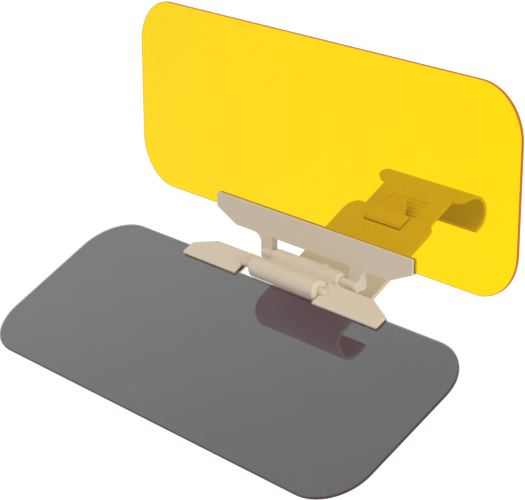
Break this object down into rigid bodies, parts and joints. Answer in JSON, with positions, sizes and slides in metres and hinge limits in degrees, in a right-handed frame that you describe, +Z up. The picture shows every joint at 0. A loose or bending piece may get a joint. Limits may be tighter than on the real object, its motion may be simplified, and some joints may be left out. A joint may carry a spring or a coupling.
{
  "type": "clip-on sun visor",
  "caption": "Clip-on anti-glare unit for a car's sun visor: telescopic clip carrying a yellow and a grey transparent panel on two hinges.",
  "frame": {"origin": "middle of the clip plate's underside, where it seats on the car's sun visor", "axes": "+X along the two panels, +Y towards the clip's sliding hook, +Z up, away from the car's visor"},
  "size_m": [0.3233, 0.2462, 0.1654],
  "materials": {
    "clip_plastic": "pale beige ABS, fine moulded satin",
    "hinge_plastic": "pale beige ABS, fine moulded satin",
    "holder_plastic": "pale beige ABS, fine moulded satin",
    "bush_plastic": "cream acetal",
    "yellow_tint": "clear polished acrylic, yellow, with orange glowing edges",
    "grey_tint": "clear polished acrylic, smoke grey, with dark plum edges",
    "steel": "bright zinc-plated steel"
  },
  "bodies": {
    "clip": {"clip_base": "clip_plastic", "hinge_post": "hinge_plastic", "post_screws": "steel", "front_sleeve_left": "hinge_plastic", "front_sleeve_right": "hinge_plastic", "front_bushes": "bush_plastic", "rear_bushes": "bush_plastic", "stop_screw": "steel", "lever_pin": "steel", "lock_spring": "steel"},
    "slider": {"clip_slider": "clip_plastic"},
    "lever": {"lock_lever": "clip_plastic"},
    "yellow": {"yellow_panel": "yellow_tint", "yellow_holder": "holder_plastic", "yellow_clamp": "holder_plastic", "yellow_hinge_pin": "steel"},
    "grey": {"grey_panel": "grey_tint", "grey_wing_left": "holder_plastic", "grey_wing_right": "holder_plastic", "grey_clamp_left": "holder_plastic", "grey_clamp_right": "holder_plastic", "grey_hinge_pin": "steel"}
  },
  "joints": [
    {"name": "yellow_swing", "type": "hinge", "parent": "clip", "child": "yellow", "pos_m": [0, -0.026, 0.02225], "axis": [1, 0, 0], "range_deg": [-58, 25]},
    {"name": "grey_swing", "type": "hinge", "parent": "clip", "child": "grey", "pos_m": [0, -0.0429, 0.0321], "axis": [1, 0, 0], "range_deg": [-85, 60]},
    {"name": "clip_slide", "type": "slide", "parent": "clip", "child": "slider", "axis": [0, 1, 0], "range_m": [-0.015, 0.03]},
    {"name": "lock_press", "type": "hinge", "parent": "clip", "child": "lever", "pos_m": [0, 0.0392, 0.0012], "axis": [1, 0, 0], "range_deg": [-6, 0], "stiffness_Nm_per_rad": 0.05, "springref_deg": 1.72}
  ]
}
